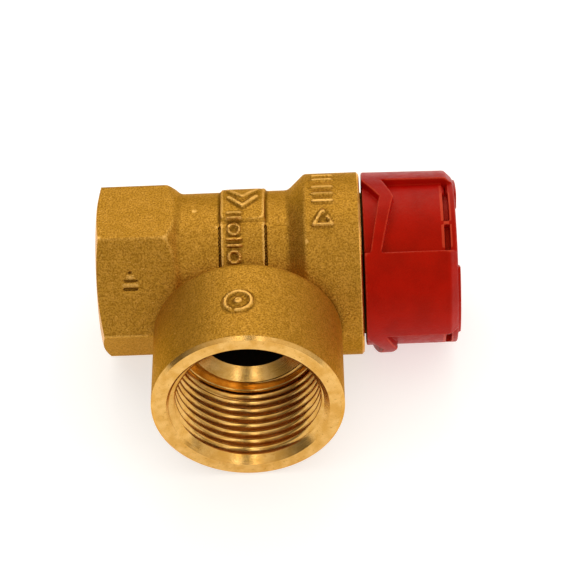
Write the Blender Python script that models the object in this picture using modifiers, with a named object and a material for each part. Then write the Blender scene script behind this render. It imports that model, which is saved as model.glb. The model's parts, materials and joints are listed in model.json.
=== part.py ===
"""Diaphragm pressure relief valve: hexagonal threaded inlet, threaded side outlet, test cap.

The main axis runs along +X from the inlet to the cap, and the outlet points along -Y.
The origin is under the middle of the valve's box, on the surface that it lies on.
Angles round the main axis are in degrees from -Y towards +Z. Sizes are in millimetres.
"""
import math

import bmesh
import bpy
from mathutils import Vector

MM = 0.001                    # one millimetre in metres
GAP = 0.3                     # clearance between pieces that touch
PAST = 1.0                    # how far a cutter runs past the face that it opens
STEPS = 48                    # facets round the large turned pieces
FINE_STEPS = 24               # facets round the small turned pieces
WRAP_STEP = 7.5               # degrees between the strips of a shape wrapped round the axis

# Body, measured from the crossing of the two axes
INLET_LENGTH = 25.4           # to the inlet face
COLLAR_END = 19.8             # to the collar's end face
OUTLET_LENGTH = 34.7          # to the outlet face
HEX_HALF_HEIGHT = 13.8        # top and bottom flats
HEX_HALF_FLAT = 6.9           # half the width of those flats
HEX_CORNER = 16.7             # side corners
HEX_FACE_R = 13.3             # flat circle on the inlet face
HEX_CHAMFER_SLOPE = 0.29      # axial millimetres per radial millimetre
HEX_BACK = -15.9              # where the hexagon's corners start to taper to the neck
HEX_TAPER = 4.6               # length of that taper
NECK_R = 13.2
NECK_END = 7.4
COLLAR_START = 10.5
COLLAR_R = 15.9
COLLAR_CHAMFER = 0.4
BOSS_R = 16.0
BOSS_CHAMFER = 0.55
BOSS_BACK = 17.0              # the boss's straight side ends here
BOSS_ROOT = 9.5               # its taper ends here, inside the neck
BOSS_ROOT_R = 12.5
PAD_START = -4.5              # raised label pad across the neck
PAD_END = 3.6
PAD_RISE = 0.45
PAD_FROM = 0.0                # its reach round the neck, from the boss
PAD_TO = 150.0

# Pipe threads, as plain bores at their crests
INLET_THREAD_R = 9.32         # G 1/2
INLET_MOUTH_R = 10.6
INLET_THREAD_LENGTH = 12.0
OUTLET_THREAD_R = 12.06       # G 3/4
OUTLET_MOUTH_R = 13.5
OUTLET_THREAD_LENGTH = 16.3
OUTLET_SHOULDER = 1.4         # length of the cone past the thread
OUTLET_HOLE_R = 8.7
OUTLET_HOLE_END = 4.0         # from the main axis

# Seat and chamber
SEAT_R = 6.0                  # bore of the seat
SEAT_LIP = 1.0                # width of the lip round it
SEAT_X = -7.5
SEAT_DEPTH = 1.8              # groove round the lip
PASSAGE_CONE = 1.4            # length of the cone from the inlet thread to the seat bore
CHAMBER_R = 10.4
CLAMP_X = 11.5                # shoulder that the diaphragm's rim lies on
COLLAR_BORE_R = 13.6

# Closing disc and its fixings
SEAL_THICK = 1.7
SEAL_R = 8.0
HOLDER_R = 9.2
HOLDER_THICK = 2.0
HOLDER_RIM = 1.4              # how far the holder's rim reaches round the seal
STEM_R = 3.8
FLANGE_R = 6.8
FLANGE_THICK = 1.4
DISC_SCREW_R = 1.4
DISC_SCREW_LENGTH = 6.4
DISC_SCREW_HEAD_R = 2.7
DISC_SCREW_HEAD = 1.6
DISC_WASHER_R = 4.4
DISC_WASHER_THICK = 0.6
SLOT_WIDTH = 0.8
SLOT_DEPTH = 0.7

# Diaphragm, spring and their plates
DIAPHRAGM_THICK = 1.2
DIAPHRAGM_DISH = 2.8          # how far the middle lies below the rim when shut
SLIP_RING_THICK = 0.8
BACKING_CLEARANCE = 1.6       # inside the bonnet's bore
BACKING_THICK = 0.8
PLATE_CLEARANCE = 0.6
PLATE_THICK = 1.0
SPIGOT_CLEARANCE = 0.4        # between a plate's spigot and the wire round it
SPIGOT_LENGTH = 1.7
LOCK_NUT_R = 4.3              # across its corners, halved
LOCK_NUT_THICK = 2.5
WIRE_R = 0.9
SPRING_CLEARANCE = 1.0
SPRING_TURNS = 4.75
SPRING_END_TURNS = 0.75       # closed turns at each end
SPRING_END_PITCH = 1.9
SPRING_POINTS = 16            # points in each turn

# Spindle
SPINDLE_R = 2.5
SPINDLE_GRIP = 5.4            # how deep it screws into the disc holder
CAP_SCREW_R = 1.2
CAP_SCREW_GRIP = 5.1          # how deep the cap's screw reaches into the spindle
CAP_SCREW_HEAD_R = 3.0
CAP_SCREW_HEAD = 1.4
CAP_WASHER_R = 4.0
CAP_WASHER_THICK = 0.6

# Bonnet and what it holds
BONNET_R = 12.3
BONNET_WALL = 2.7
BONNET_TOP = 30.4
BONNET_SHOULDER = 19.5        # end of the threaded flange
NUT_THICK = 3.1
NUT_SOCKET_R = 6.9            # hexagonal socket, across its corners, halved
NUT_SOCKET_DEPTH = 1.6
BUSH_WALL = 1.1

# Lifting ramps, three round the axis
RAMPS = 3
RAMP_FROM = 46.0              # where the first ramp starts
RAMP_TURN = 42.0              # length of the climbing flank
RAMP_FALL = 7.0               # length of the steep flank
RAMP_RISE = 2.1
RAMP_WIDTH = 2.1

# Cap
CAP_START = 20.2
CAP_EDGE = 34.6               # where the side meets the end chamfer
CAP_SHELF = 36.0              # end face
CAP_END = 36.4                # raised sectors on it
CAP_R = 15.85                 # at the open rim
CAP_EDGE_R = 15.45            # at the end, less the draft
CAP_END_R = 14.2
CAP_BORE_CLEARANCE = 0.4
CAP_WEB = 1.7
CAP_WELL_R = 9.2              # well that holds the screw and the cover
COVER_THICK = 0.9
POCKET_R = 14.35              # floor of the finger pockets
POCKET_FROM = 48.0
POCKET_TURN = 57.0
POCKET_END = 33.9
RIB_APEX = 88.0               # angle of the rib's peak
RIB_PEAK = 25.3               # where its peak lies along the axis
RIB_LOW = 23.0                # where its long arm leaves the pocket
RIB_WIDTH = 2.0
SECTOR_FROM = -22.0           # raised sectors on the end face
SECTOR_TURN = 58.0
SECTOR_INNER_R = 10.4

BRASS = (0.72, 0.50, 0.20)
DARK_BRASS = (0.50, 0.36, 0.16)
STEEL = (0.62, 0.62, 0.63)
RUBBER = (0.03, 0.03, 0.03)
RED = (0.62, 0.02, 0.01)
WHITE = (0.85, 0.84, 0.80)

# Places along the main axis that follow from the sizes above
SEAL_X = SEAT_X + GAP
HOLDER_X = SEAL_X + SEAL_THICK + GAP
DISC_WASHER_X = SEAT_X - DISC_WASHER_THICK
DISC_SCREW_X = DISC_WASHER_X - GAP
DIAPHRAGM_RIM_X = CLAMP_X + GAP
DIAPHRAGM_X = DIAPHRAGM_RIM_X - DIAPHRAGM_DISH
FLANGE_X = DIAPHRAGM_X - GAP - FLANGE_THICK
SLIP_RING_X = DIAPHRAGM_RIM_X + DIAPHRAGM_THICK + GAP
BONNET_X = SLIP_RING_X + SLIP_RING_THICK + GAP
BACKING_X = DIAPHRAGM_X + DIAPHRAGM_THICK + GAP
PLATE_X = BACKING_X + BACKING_THICK + GAP
LOCK_NUT_X = PLATE_X + PLATE_THICK + SPIGOT_LENGTH + GAP
SPINDLE_X = FLANGE_X + FLANGE_THICK - SPINDLE_GRIP
NUT_X = BONNET_TOP - GAP - NUT_THICK
UPPER_PLATE_X = NUT_X - GAP - PLATE_THICK
CAP_FLOOR = BONNET_TOP + GAP
CAP_WASHER_X = CAP_FLOOR + CAP_WEB + GAP
CAP_SCREW_X = CAP_WASHER_X + CAP_WASHER_THICK + GAP
COVER_X = CAP_SCREW_X + CAP_SCREW_HEAD + GAP
RIM_R = COLLAR_BORE_R - GAP             # diaphragm, slip ring and bonnet flange
BONNET_BORE_R = BONNET_R - BONNET_WALL
BACKING_R = BONNET_BORE_R - BACKING_CLEARANCE
PLATE_R = BONNET_BORE_R - PLATE_CLEARANCE
SPRING_R = BONNET_BORE_R - SPRING_CLEARANCE - WIRE_R     # to the middle of the wire
SPIGOT_R = SPRING_R - WIRE_R - SPIGOT_CLEARANCE
SPINDLE_HOLE_R = SPINDLE_R + GAP
CAP_BORE_R = BONNET_R + CAP_BORE_CLEARANCE
CAP_HOLE_R = CAP_SCREW_R + GAP
DISC_HOLE_R = DISC_SCREW_R + GAP
RAMP_OUTER_R = BONNET_R - GAP


def clear_scene():
    for obj in list(bpy.data.objects):
        bpy.data.objects.remove(obj, do_unlink=True)


def new_collection(name):
    collection = bpy.data.collections.new(name)
    bpy.context.scene.collection.children.link(collection)
    return collection


def new_empty(name, parent=None, location=(0, 0, 0), rotation=(0, 0, 0)):
    empty = bpy.data.objects.new(name, None)
    empty.location = [value * MM for value in location]
    empty.rotation_euler = rotation
    empty.parent = parent
    PARTS.objects.link(empty)
    return empty


def as_cutter(obj):
    """Keeps a shape out of the model, as a tool that cuts or joins."""
    PARTS.objects.unlink(obj)
    CUTTERS.objects.link(obj)
    obj.hide_render = True
    obj.display_type = 'WIRE'
    return obj


def place(name, mesh, parent):
    obj = bpy.data.objects.new(name, mesh)
    obj.parent = parent
    PARTS.objects.link(obj)
    return obj


def finish_part(obj, color, roughness, metallic):
    """Gives a sub-part its own material and smooth shading."""
    material = bpy.data.materials.new(obj.name)
    material.use_nodes = True
    shader = material.node_tree.nodes["Principled BSDF"]
    shader.inputs["Base Color"].default_value = (*color, 1.0)
    shader.inputs["Roughness"].default_value = roughness
    shader.inputs["Metallic"].default_value = metallic
    obj.data.materials.append(material)
    return obj


def turned(name, profile, parent, steps=STEPS):
    """A profile of (radius, place along the axis) points, turned about the parent's Z axis.

    The points run down the outer side. A profile that starts and ends at radius 0 is solid,
    and any other one is a ring.
    """
    is_ring = profile[0][0] > 0
    edges = [(i, i + 1) for i in range(len(profile) - 1)]
    if is_ring:
        edges.append((len(profile) - 1, 0))
    mesh = bpy.data.meshes.new(name)
    mesh.from_pydata([(r * MM, 0, x * MM) for r, x in profile], edges, [])
    obj = place(name, mesh, parent)
    screw = obj.modifiers.new("turn", 'SCREW')
    screw.steps = steps
    screw.render_steps = steps
    screw.use_merge_vertices = True
    screw.merge_threshold = 0.00001
    screw.use_smooth_shade = True
    return obj


def ring_profile(inner, outer, low, high, chamfer=0.0):
    """A washer's profile, with its outer edges chamfered."""
    edge = [(outer, high), (outer, low)]
    if chamfer > 0:
        edge = [(outer - chamfer, high), (outer, high - chamfer),
                (outer, low + chamfer), (outer - chamfer, low)]
    return edge + [(inner, low), (inner, high)]


def flat_prism(name, outline, low, high, parent):
    """A flat outline in the parent's XY plane, given thickness from low to high."""
    curve = bpy.data.curves.new(name, 'CURVE')
    curve.dimensions = '2D'
    curve.fill_mode = 'BOTH'
    curve.extrude = (high - low) / 2 * MM
    spline = curve.splines.new('POLY')
    spline.points.add(len(outline) - 1)
    spline.use_cyclic_u = True
    for point, (x, y) in zip(spline.points, outline):
        point.co = (x * MM, y * MM, 0, 1)
    drawn = place(name + "_outline", curve, parent)
    drawn.location.z = (high + low) / 2 * MM
    bpy.context.view_layer.update()
    depsgraph = bpy.context.evaluated_depsgraph_get()
    mesh = bpy.data.meshes.new_from_object(drawn.evaluated_get(depsgraph))
    mesh.transform(drawn.matrix_local)
    bpy.data.objects.remove(drawn, do_unlink=True)
    close_mesh(mesh)
    return place(name, mesh, parent)


def close_mesh(mesh):
    """Welds loose seams and turns every face outwards."""
    bm = bmesh.new()
    bm.from_mesh(mesh)
    bmesh.ops.remove_doubles(bm, verts=bm.verts, dist=0.000001)
    bmesh.ops.recalc_face_normals(bm, faces=bm.faces)
    bm.to_mesh(mesh)
    bm.free()


def hexagonal_bar(name, corner_r, low, high, parent):
    bm = bmesh.new()
    bmesh.ops.create_cone(bm, cap_ends=True, segments=6, radius1=corner_r * MM,
                          radius2=corner_r * MM, depth=(high - low) * MM)
    bmesh.ops.translate(bm, verts=bm.verts, vec=(0, 0, (high + low) / 2 * MM))
    mesh = bpy.data.meshes.new(name)
    bm.to_mesh(mesh)
    bm.free()
    return place(name, mesh, parent)


def slot_bar(name, width, length, low, high, parent):
    """A long box across the axis, which cuts a screw slot."""
    bm = bmesh.new()
    bmesh.ops.create_cube(bm, size=MM)
    bmesh.ops.scale(bm, verts=bm.verts, vec=(width, length, high - low))
    bmesh.ops.translate(bm, verts=bm.verts, vec=(0, 0, (high + low) / 2 * MM))
    mesh = bpy.data.meshes.new(name)
    bm.to_mesh(mesh)
    bm.free()
    return place(name, mesh, parent)


def combine(obj, tool, operation):
    boolean = obj.modifiers.new(tool.name, 'BOOLEAN')
    boolean.solver = 'EXACT'
    boolean.operation = operation
    boolean.object = as_cutter(tool)


def round_axis(radius, angle, x):
    """A point round the main axis, in the main axis's own frame."""
    turn = math.radians(angle)
    return Vector((-radius * math.sin(turn) * MM, -radius * math.cos(turn) * MM, x * MM))


def steps_between(first, last, step):
    """Values from first to last, no further apart than step."""
    count = max(1, math.ceil((last - first) / step - 1e-9))
    return [first + (last - first) * i / count for i in range(count + 1)]


def height_at(chain, angle):
    """Where a chain of (angle, x) points lies at an angle."""
    for (a0, x0), (a1, x1) in zip(chain, chain[1:]):
        if a0 <= angle <= a1:
            return x0 + (x1 - x0) * (angle - a0) / (a1 - a0)
    return chain[-1][1]


def wrapped(name, low, high, inner, outer, parent):
    """A solid wrapped round the main axis between two radii.

    low and high are chains of (angle, x) points over the same angles. The solid lies between
    them, and it is a strip of narrow four-sided blocks, so that each of its faces is flat.
    """
    corners = sorted({angle for angle, _ in low} | {angle for angle, _ in high})
    angles = [corners[0]]
    for a0, a1 in zip(corners, corners[1:]):
        angles += steps_between(a0, a1, WRAP_STEP)[1:]
    bm = bmesh.new()
    rings = []
    for angle in angles:
        x0 = height_at(low, angle)
        x1 = height_at(high, angle)
        rings.append([bm.verts.new(round_axis(r, angle, x))
                      for r, x in ((inner, x0), (outer, x0), (outer, x1), (inner, x1))])
    for ring, following in zip(rings, rings[1:]):
        for i in range(4):
            bm.faces.new((ring[i], ring[(i + 1) % 4], following[(i + 1) % 4], following[i]))
    bm.faces.new(rings[0])
    bm.faces.new(rings[-1])
    mesh = bpy.data.meshes.new(name)
    bm.to_mesh(mesh)
    bm.free()
    close_mesh(mesh)
    return place(name, mesh, parent)


def repeated(count):
    """The angles of a pattern that repeats round the axis."""
    return [360.0 / count * i for i in range(count)]


def make_hexagon(main):
    """The inlet's hexagon, chamfered at its face and tapered into the neck."""
    flat = HEX_HALF_FLAT
    top = HEX_HALF_HEIGHT
    outline = [(top, flat), (0, HEX_CORNER), (-top, flat),
               (-top, -flat), (0, -HEX_CORNER), (top, -flat)]
    block = flat_prism("hexagon", outline, -INLET_LENGTH, HEX_BACK + HEX_TAPER + GAP, main)
    over_r = HEX_CORNER + GAP
    taper = (over_r - NECK_R) / HEX_TAPER
    root = HEX_BACK + HEX_TAPER + GAP
    chamfer = (over_r - HEX_FACE_R) * HEX_CHAMFER_SLOPE
    profile = [(0, root), (NECK_R - taper * GAP, root), (over_r, HEX_BACK),
               (over_r, -INLET_LENGTH + chamfer), (HEX_FACE_R, -INLET_LENGTH),
               (0, -INLET_LENGTH)]
    envelope = turned("hexagon_envelope", profile, main)
    combine(block, envelope, 'INTERSECT')
    return block


def make_boss(outlet):
    profile = [(0, OUTLET_LENGTH), (BOSS_R - BOSS_CHAMFER, OUTLET_LENGTH),
               (BOSS_R, OUTLET_LENGTH - BOSS_CHAMFER), (BOSS_R, BOSS_BACK),
               (BOSS_ROOT_R, BOSS_ROOT), (0, BOSS_ROOT)]
    return turned("boss", profile, outlet)


def make_main_bore(main):
    """Everything bored along the main axis, with the seat's lip left standing."""
    thread_end = -INLET_LENGTH + INLET_THREAD_LENGTH
    mouth = INLET_MOUTH_R - INLET_THREAD_R
    lip_r = SEAT_R + SEAT_LIP
    profile = [(0, COLLAR_END + PAST), (COLLAR_BORE_R, COLLAR_END + PAST),
               (COLLAR_BORE_R, CLAMP_X), (CHAMBER_R, CLAMP_X),
               (CHAMBER_R, SEAT_X - SEAT_DEPTH), (lip_r, SEAT_X - SEAT_DEPTH),
               (lip_r, SEAT_X), (SEAT_R, SEAT_X), (SEAT_R, thread_end + PASSAGE_CONE),
               (INLET_THREAD_R, thread_end), (INLET_THREAD_R, mouth - INLET_LENGTH),
               (INLET_MOUTH_R + PAST, -INLET_LENGTH - PAST), (0, -INLET_LENGTH - PAST)]
    return turned("main_bore", profile, main)


def make_outlet_bore(outlet):
    thread_end = OUTLET_LENGTH - OUTLET_THREAD_LENGTH
    mouth = OUTLET_MOUTH_R - OUTLET_THREAD_R
    profile = [(0, OUTLET_LENGTH + PAST), (OUTLET_MOUTH_R + PAST, OUTLET_LENGTH + PAST),
               (OUTLET_THREAD_R, OUTLET_LENGTH - mouth), (OUTLET_THREAD_R, thread_end),
               (OUTLET_HOLE_R, thread_end - OUTLET_SHOULDER),
               (OUTLET_HOLE_R, OUTLET_HOLE_END), (0, OUTLET_HOLE_END)]
    return turned("outlet_bore", profile, outlet)


def make_valve_body(main, outlet):
    inside = -INLET_LENGTH / 2 + HEX_BACK / 2
    profile = [(0, COLLAR_END), (COLLAR_R - COLLAR_CHAMFER, COLLAR_END),
               (COLLAR_R, COLLAR_END - COLLAR_CHAMFER), (COLLAR_R, COLLAR_START),
               (NECK_R, NECK_END), (NECK_R, inside), (0, inside)]
    body = turned("valve_body", profile, main)
    combine(body, make_hexagon(main), 'UNION')
    combine(body, make_boss(outlet), 'UNION')
    pad = wrapped("label_pad", [(PAD_FROM, PAD_START), (PAD_TO, PAD_START)],
                  [(PAD_FROM, PAD_END), (PAD_TO, PAD_END)],
                  NECK_R - PAST, NECK_R + PAD_RISE, main)
    combine(body, pad, 'UNION')
    combine(body, make_main_bore(main), 'DIFFERENCE')
    combine(body, make_outlet_bore(outlet), 'DIFFERENCE')
    finish_part(body, BRASS, 0.4, 1.0)


def ramp_chain(start, lift):
    """The ramp's upper outline: a long climb and a short fall."""
    rise = RAMP_RISE + lift
    return [(start, lift), (start + RAMP_TURN, rise),
            (start + RAMP_TURN + RAMP_FALL, lift)]


def make_bonnet(main):
    profile = [(BONNET_R, BONNET_TOP), (BONNET_R, BONNET_SHOULDER), (RIM_R, BONNET_SHOULDER),
               (RIM_R, BONNET_X), (BONNET_BORE_R, BONNET_X), (BONNET_BORE_R, BONNET_TOP)]
    bonnet = turned("bonnet", profile, main)
    for turn in repeated(RAMPS):
        high = [(angle, BONNET_TOP + x) for angle, x in ramp_chain(RAMP_FROM + turn, 0.0)]
        low = [(angle, BONNET_TOP - PAST) for angle, _ in high]
        inner = RAMP_OUTER_R - RAMP_WIDTH
        ramp = wrapped("ramp_%d" % turn, low, high, inner, RAMP_OUTER_R, main)
        combine(bonnet, ramp, 'UNION')
    finish_part(bonnet, DARK_BRASS, 0.45, 1.0)


def make_adjusting_nut(main):
    outer = BONNET_BORE_R - GAP
    hole = SPINDLE_HOLE_R + BUSH_WALL + GAP
    top = NUT_X + NUT_THICK
    nut = turned("adjusting_nut", ring_profile(hole, outer, NUT_X, top, GAP), main)
    socket = hexagonal_bar("nut_socket", NUT_SOCKET_R, top - NUT_SOCKET_DEPTH, top + PAST, main)
    combine(nut, socket, 'DIFFERENCE')
    finish_part(nut, BRASS, 0.35, 1.0)


def make_spindle_bush(main):
    profile = ring_profile(SPINDLE_HOLE_R, SPINDLE_HOLE_R + BUSH_WALL, NUT_X, NUT_X + NUT_THICK)
    bush = turned("spindle_bush", profile, main, FINE_STEPS)
    finish_part(bush, WHITE, 0.5, 0.0)


def make_upper_spring_plate(main):
    top = UPPER_PLATE_X + PLATE_THICK
    profile = [(PLATE_R, top), (PLATE_R, UPPER_PLATE_X), (SPIGOT_R, UPPER_PLATE_X),
               (SPIGOT_R, UPPER_PLATE_X - SPIGOT_LENGTH),
               (SPINDLE_HOLE_R, UPPER_PLATE_X - SPIGOT_LENGTH), (SPINDLE_HOLE_R, top)]
    plate = turned("upper_spring_plate", profile, main, FINE_STEPS)
    finish_part(plate, STEEL, 0.4, 1.0)


def make_slip_ring(main):
    profile = ring_profile(BONNET_BORE_R + GAP, RIM_R, SLIP_RING_X,
                           SLIP_RING_X + SLIP_RING_THICK)
    ring = turned("slip_ring", profile, main)
    finish_part(ring, WHITE, 0.55, 0.0)


def make_diaphragm(main):
    """A dished rubber disc. Its rim is clamped in the collar and its middle lifts."""
    low = DIAPHRAGM_X
    high = DIAPHRAGM_RIM_X
    thick = DIAPHRAGM_THICK
    bend = CHAMBER_R - GAP
    flat = (FLANGE_R + bend) / 2
    profile = [(RIM_R, high + thick), (RIM_R, high), (bend, high), (flat, low),
               (SPINDLE_HOLE_R, low), (SPINDLE_HOLE_R, low + thick),
               (flat - GAP, low + thick), (bend - GAP, high + thick)]
    diaphragm = turned("diaphragm", profile, main)
    finish_part(diaphragm, RUBBER, 0.8, 0.0)


def spring_height(turns):
    """How far the wire has climbed after some turns: close at the ends, open between."""
    span = UPPER_PLATE_X - PLATE_X - PLATE_THICK - 2 * GAP - 2 * WIRE_R
    closed = SPRING_END_TURNS * SPRING_END_PITCH
    open_turns = SPRING_TURNS - 2 * SPRING_END_TURNS
    pitch = (span - 2 * closed) / open_turns
    if turns <= SPRING_END_TURNS:
        return turns * SPRING_END_PITCH
    if turns <= SPRING_TURNS - SPRING_END_TURNS:
        return closed + (turns - SPRING_END_TURNS) * pitch
    return span - (SPRING_TURNS - turns) * SPRING_END_PITCH


def make_spring(main):
    start = PLATE_X + PLATE_THICK + GAP + WIRE_R
    count = round(SPRING_TURNS * SPRING_POINTS)
    curve = bpy.data.curves.new("spring_path", 'CURVE')
    curve.dimensions = '3D'
    curve.bevel_depth = WIRE_R * MM
    curve.bevel_resolution = 2
    curve.use_fill_caps = True
    spline = curve.splines.new('POLY')
    spline.points.add(count)
    for i, point in enumerate(spline.points):
        turns = i / SPRING_POINTS
        spot = round_axis(SPRING_R, 360.0 * turns, start + spring_height(turns))
        point.co = (*spot, 1)
    spring = place("spring", curve, main)
    finish_part(spring, STEEL, 0.35, 1.0)


def make_disc_screw(main):
    head = DISC_SCREW_X - DISC_SCREW_HEAD
    profile = [(0, DISC_SCREW_X + DISC_SCREW_LENGTH),
               (DISC_SCREW_R, DISC_SCREW_X + DISC_SCREW_LENGTH),
               (DISC_SCREW_R, DISC_SCREW_X), (DISC_SCREW_HEAD_R, DISC_SCREW_X),
               (DISC_SCREW_HEAD_R, head), (0, head)]
    screw = turned("disc_screw", profile, main, FINE_STEPS)
    slot = slot_bar("disc_screw_slot", SLOT_WIDTH, 2 * DISC_SCREW_HEAD_R + PAST,
                    head - PAST, head + SLOT_DEPTH, main)
    combine(screw, slot, 'DIFFERENCE')
    finish_part(screw, STEEL, 0.3, 1.0)


def make_disc_washer(main):
    profile = ring_profile(DISC_HOLE_R, DISC_WASHER_R, DISC_WASHER_X,
                           DISC_WASHER_X + DISC_WASHER_THICK)
    washer = turned("disc_washer", profile, main, FINE_STEPS)
    finish_part(washer, STEEL, 0.3, 1.0)


def make_seal_disc(main):
    profile = ring_profile(DISC_HOLE_R, SEAL_R, SEAL_X, SEAL_X + SEAL_THICK)
    seal = turned("seal_disc", profile, main)
    finish_part(seal, RUBBER, 0.8, 0.0)


def make_disc_holder(main):
    """Cup for the seal, stem, and the flange under the diaphragm."""
    top = FLANGE_X + FLANGE_THICK
    screw_end = DISC_SCREW_X + DISC_SCREW_LENGTH + GAP
    spindle_end = SPINDLE_X - GAP
    profile = [(0, spindle_end), (SPINDLE_HOLE_R, spindle_end), (SPINDLE_HOLE_R, top),
               (FLANGE_R, top), (FLANGE_R, FLANGE_X), (STEM_R, FLANGE_X),
               (STEM_R, HOLDER_X + HOLDER_THICK), (HOLDER_R, HOLDER_X + HOLDER_THICK),
               (HOLDER_R, HOLDER_X - HOLDER_RIM), (SEAL_R + GAP, HOLDER_X - HOLDER_RIM),
               (SEAL_R + GAP, HOLDER_X), (DISC_HOLE_R, HOLDER_X), (DISC_HOLE_R, screw_end),
               (0, screw_end)]
    holder = turned("disc_holder", profile, main)
    finish_part(holder, BRASS, 0.35, 1.0)


def make_diaphragm_plate(main):
    profile = ring_profile(SPINDLE_HOLE_R, BACKING_R, BACKING_X, BACKING_X + BACKING_THICK)
    plate = turned("diaphragm_plate", profile, main, FINE_STEPS)
    finish_part(plate, STEEL, 0.35, 1.0)


def make_spring_plate(main):
    seat = PLATE_X + PLATE_THICK
    profile = [(SPIGOT_R, seat + SPIGOT_LENGTH), (SPIGOT_R, seat), (PLATE_R, seat),
               (PLATE_R, PLATE_X), (SPINDLE_HOLE_R, PLATE_X),
               (SPINDLE_HOLE_R, seat + SPIGOT_LENGTH)]
    plate = turned("spring_plate", profile, main, FINE_STEPS)
    finish_part(plate, STEEL, 0.4, 1.0)


def make_lock_nut(main):
    top = LOCK_NUT_X + LOCK_NUT_THICK
    nut = hexagonal_bar("lock_nut", LOCK_NUT_R, LOCK_NUT_X, top, main)
    hole = turned("lock_nut_hole", [(0, top + PAST), (SPINDLE_HOLE_R, top + PAST),
                                    (SPINDLE_HOLE_R, LOCK_NUT_X - PAST),
                                    (0, LOCK_NUT_X - PAST)], main, FINE_STEPS)
    combine(nut, hole, 'DIFFERENCE')
    finish_part(nut, STEEL, 0.35, 1.0)


def make_spindle(main):
    hole_end = BONNET_TOP - CAP_SCREW_GRIP - GAP
    profile = [(0, hole_end), (CAP_HOLE_R, hole_end), (CAP_HOLE_R, BONNET_TOP),
               (SPINDLE_R, BONNET_TOP), (SPINDLE_R, SPINDLE_X), (0, SPINDLE_X)]
    spindle = turned("spindle", profile, main, FINE_STEPS)
    finish_part(spindle, BRASS, 0.3, 1.0)


def make_cap_washer(main):
    profile = ring_profile(CAP_HOLE_R, CAP_WASHER_R, CAP_WASHER_X,
                           CAP_WASHER_X + CAP_WASHER_THICK)
    washer = turned("cap_washer", profile, main, FINE_STEPS)
    finish_part(washer, STEEL, 0.3, 1.0)


def make_cap_screw(main):
    top = CAP_SCREW_X + CAP_SCREW_HEAD
    end = BONNET_TOP - CAP_SCREW_GRIP
    profile = [(0, top), (CAP_SCREW_HEAD_R, top), (CAP_SCREW_HEAD_R, CAP_SCREW_X),
               (CAP_SCREW_R, CAP_SCREW_X), (CAP_SCREW_R, end), (0, end)]
    screw = turned("cap_screw", profile, main, FINE_STEPS)
    slot = slot_bar("cap_screw_slot", SLOT_WIDTH, 2 * CAP_SCREW_HEAD_R + PAST,
                    top - SLOT_DEPTH, top + PAST, main)
    combine(screw, slot, 'DIFFERENCE')
    finish_part(screw, STEEL, 0.3, 1.0)


def cut_pocket(cap, turn, main):
    """A finger pocket, with a raised peaked rib left across it near the open rim."""
    first = POCKET_FROM + turn
    last = first + POCKET_TURN
    apex = RIB_APEX + turn
    rim = CAP_START - PAST
    outer = CAP_R + PAST
    rib = [(first, RIB_LOW), (apex, RIB_PEAK), (last, CAP_START + GAP)]
    right = wrapped("pocket_%d" % turn, rib, [(first, POCKET_END), (last, POCKET_END)],
                    POCKET_R, outer, main)
    combine(cap, right, 'DIFFERENCE')
    left_edge = [(angle, max(rim, x - RIB_WIDTH)) for angle, x in rib]
    left = wrapped("recess_%d" % turn, [(first, rim), (last, rim)],
                   left_edge, POCKET_R, outer, main)
    combine(cap, left, 'DIFFERENCE')


def cut_ramp_notch(cap, turn, main):
    """The notch that closes over one of the bonnet's ramps."""
    high = [(angle, CAP_FLOOR + x) for angle, x in ramp_chain(RAMP_FROM + turn, 0.0)]
    high[-1] = (high[-1][0] + RAMP_FALL, CAP_FLOOR)
    low = [(angle, CAP_FLOOR - PAST) for angle, _ in high]
    inner = RAMP_OUTER_R - RAMP_WIDTH - GAP
    notch = wrapped("notch_%d" % turn, low, high, inner, CAP_BORE_R - GAP / 2, main)
    combine(cap, notch, 'DIFFERENCE')


def make_cap(main):
    rim_break = GAP
    profile = [(CAP_END_R, CAP_SHELF), (CAP_EDGE_R, CAP_EDGE), (CAP_R, CAP_START + rim_break),
               (CAP_R - rim_break, CAP_START), (CAP_BORE_R, CAP_START),
               (CAP_BORE_R, CAP_FLOOR), (CAP_HOLE_R, CAP_FLOOR),
               (CAP_HOLE_R, CAP_FLOOR + CAP_WEB), (CAP_WELL_R, CAP_FLOOR + CAP_WEB),
               (CAP_WELL_R, CAP_SHELF)]
    cap = turned("cap", profile, main)
    for turn in repeated(RAMPS):
        cut_pocket(cap, turn, main)
        cut_ramp_notch(cap, turn, main)
        first = SECTOR_FROM + turn
        last = first + SECTOR_TURN
        sector = wrapped("sector_%d" % turn, [(first, CAP_SHELF - GAP), (last, CAP_SHELF - GAP)],
                         [(first, CAP_END), (last, CAP_END)],
                         SECTOR_INNER_R, CAP_END_R - GAP, main)
        combine(cap, sector, 'UNION')
    finish_part(cap, RED, 0.4, 0.0)


def make_cover_disc(main):
    outer = CAP_WELL_R - GAP
    top = COVER_X + COVER_THICK
    profile = [(0, top), (outer - GAP, top), (outer, top - GAP), (outer, COVER_X),
               (0, COVER_X)]
    cover = turned("cover_disc", profile, main)
    finish_part(cover, RED, 0.4, 0.0)


def build():
    middle_x = (CAP_END - INLET_LENGTH) / 2
    middle_y = (HEX_CORNER - OUTLET_LENGTH) / 2
    axes = new_empty("valve_axes", location=(-middle_x, -middle_y, BOSS_R))
    main = new_empty("main_axis", axes, rotation=(0, math.radians(90), 0))
    outlet = new_empty("outlet_axis", axes, rotation=(math.radians(90), 0, 0))
    make_valve_body(main, outlet)
    for make in (make_bonnet, make_adjusting_nut, make_spindle_bush, make_upper_spring_plate,
                 make_slip_ring, make_diaphragm, make_spring, make_disc_screw,
                 make_disc_washer, make_seal_disc, make_disc_holder, make_diaphragm_plate,
                 make_spring_plate, make_lock_nut, make_spindle, make_cap_washer,
                 make_cap_screw, make_cap, make_cover_disc):
        make(main)


clear_scene()
PARTS = new_collection("pressure_relief_valve")
CUTTERS = new_collection("cutters")
build()
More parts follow.
